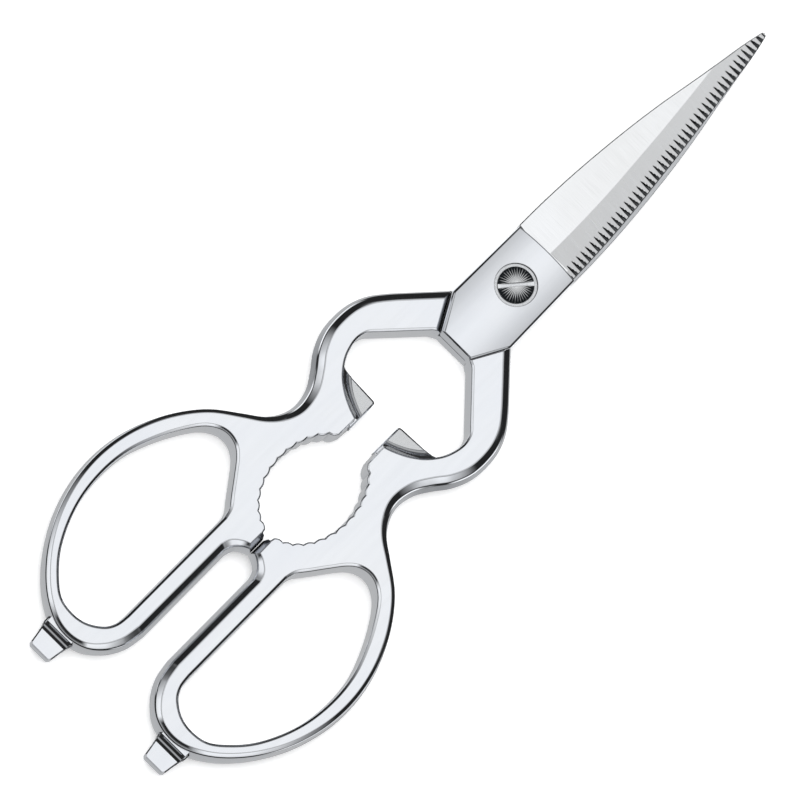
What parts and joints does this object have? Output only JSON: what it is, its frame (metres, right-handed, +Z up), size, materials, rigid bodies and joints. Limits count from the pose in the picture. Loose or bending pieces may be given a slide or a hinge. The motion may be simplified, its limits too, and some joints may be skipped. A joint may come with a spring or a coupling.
{
  "type": "poultry shears",
  "caption": "All-metal kitchen and poultry shears with a serrated blade, finger rings, a toothed cap grip between the handles and a slotted pivot screw.",
  "frame": {"origin": "on the pivot axis, in the plane that the closed shears rest on", "axes": "+X along the tool to the blade tip, +Y to the back half's handle, +Z up along the pivot axis to the screw's head"},
  "size_m": [0.2052, 0.0752, 0.0094],
  "materials": {
    "handle_steel": "bright polished",
    "blade_steel": "satin ground",
    "screw_steel": "bright with a dark radial grain",
    "washer_steel": "bright"
  },
  "bodies": {
    "back_half": {"back_handle": "handle_steel", "back_blade": "blade_steel", "pivot_screw": "screw_steel", "head_washer": "washer_steel", "spring_washer": "washer_steel", "pivot_nut": "screw_steel"},
    "front_half": {"front_handle": "handle_steel", "front_blade": "blade_steel"}
  },
  "joints": [
    {"name": "pivot", "type": "hinge", "parent": "back_half", "child": "front_half", "pos_m": [0, 0, 0.0045], "axis": [0, 0, 1], "range_deg": [0, 70]}
  ]
}
